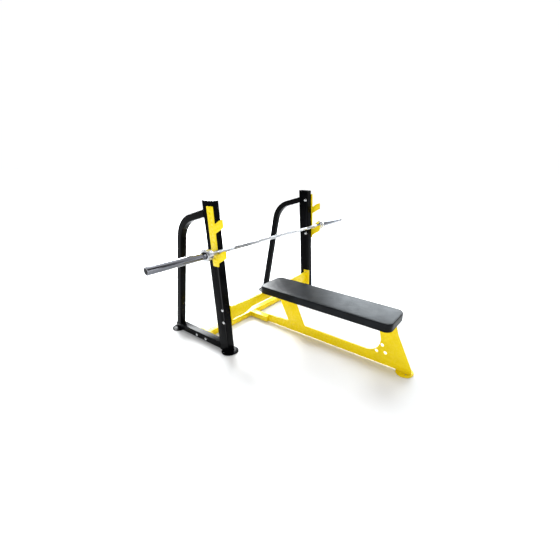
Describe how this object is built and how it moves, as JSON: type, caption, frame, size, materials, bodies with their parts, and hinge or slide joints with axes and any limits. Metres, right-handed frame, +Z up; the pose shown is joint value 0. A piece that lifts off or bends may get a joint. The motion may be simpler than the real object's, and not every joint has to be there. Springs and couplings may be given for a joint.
{
  "type": "olympic bench press",
  "caption": "Flat bench press with leaning uprights, bent rear braces, double bar hooks, a long pad on a plate-steel spine, and a barbell whose sleeves turn.",
  "frame": {"origin": "on the floor under the middle of the whole object's box", "axes": "+X across the rack along the barbell, +Y from the bench's foot end towards the rack, +Z up"},
  "size_m": [2.2, 2.022, 1.17],
  "materials": {
    "black_paint": "gloss",
    "yellow_paint": "gloss",
    "black_plastic": "satin",
    "dark_plastic": "satin",
    "rubber": "matte",
    "zinc_steel": "satin",
    "board": "matte",
    "black_vinyl": "satin",
    "chrome": "polished",
    "bronze": "satin"
  },
  "bodies": {
    "frame": {"left_upright": "black_paint", "right_upright": "black_paint", "left_upright_cap": "black_plastic", "right_upright_cap": "black_plastic", "left_rear_tube": "black_paint", "right_rear_tube": "black_paint", "left_base_rail": "black_paint", "right_base_rail": "black_paint", "left_rail_cap": "black_plastic", "right_rail_cap": "black_plastic", "left_front_foot": "black_paint", "right_front_foot": "black_paint", "left_rear_foot": "black_paint", "right_rear_foot": "black_paint", "bench_foot": "yellow_paint", "left_front_rubber": "rubber", "right_front_rubber": "rubber", "left_rear_rubber": "rubber", "right_rear_rubber": "rubber", "bench_rubber": "rubber", "left_hook_plate": "yellow_paint", "right_hook_plate": "yellow_paint", "hook_bolts": "yellow_paint", "hook_washers": "zinc_steel", "hook_nuts": "zinc_steel", "upper_beam": "yellow_paint", "left_beam_flange": "yellow_paint", "right_beam_flange": "yellow_paint", "beam_bolts": "zinc_steel", "beam_washers": "zinc_steel", "lower_cross_tube": "yellow_paint", "left_tube_flange": "yellow_paint", "right_tube_flange": "yellow_paint", "base_bolts": "zinc_steel", "base_washers": "zinc_steel", "base_nuts": "zinc_steel", "spine_socket": "yellow_paint", "spine_socket_plate": "yellow_paint", "bench_plate": "yellow_paint", "rear_pad_bracket": "yellow_paint", "front_pad_bracket": "yellow_paint", "pad_board": "board", "pad_cushion": "black_vinyl", "pad_screws": "zinc_steel"},
    "barbell": {"bar_shaft": "chrome", "sleeve_retaining_rings": "zinc_steel"},
    "left_rotor": {"left_sleeve": "chrome", "left_collar": "chrome", "left_inner_bush": "bronze", "left_outer_bush": "bronze", "left_end_cap": "dark_plastic"},
    "right_rotor": {"right_sleeve": "chrome", "right_collar": "chrome", "right_inner_bush": "bronze", "right_outer_bush": "bronze", "right_end_cap": "dark_plastic"}
  },
  "joints": [
    {"name": "bar_lift", "type": "slide", "parent": "frame", "child": "barbell", "axis": [0, -0.7071, 0.7071], "range_m": [0, 0.3]},
    {"name": "left_sleeve_spin", "type": "hinge", "parent": "barbell", "child": "left_rotor", "pos_m": [-0.9035, 0.27882, 0.83208], "axis": [1, 0, 0], "continuous": true},
    {"name": "right_sleeve_spin", "type": "hinge", "parent": "barbell", "child": "right_rotor", "pos_m": [0.9035, 0.27882, 0.83208], "axis": [1, 0, 0], "continuous": true}
  ]
}
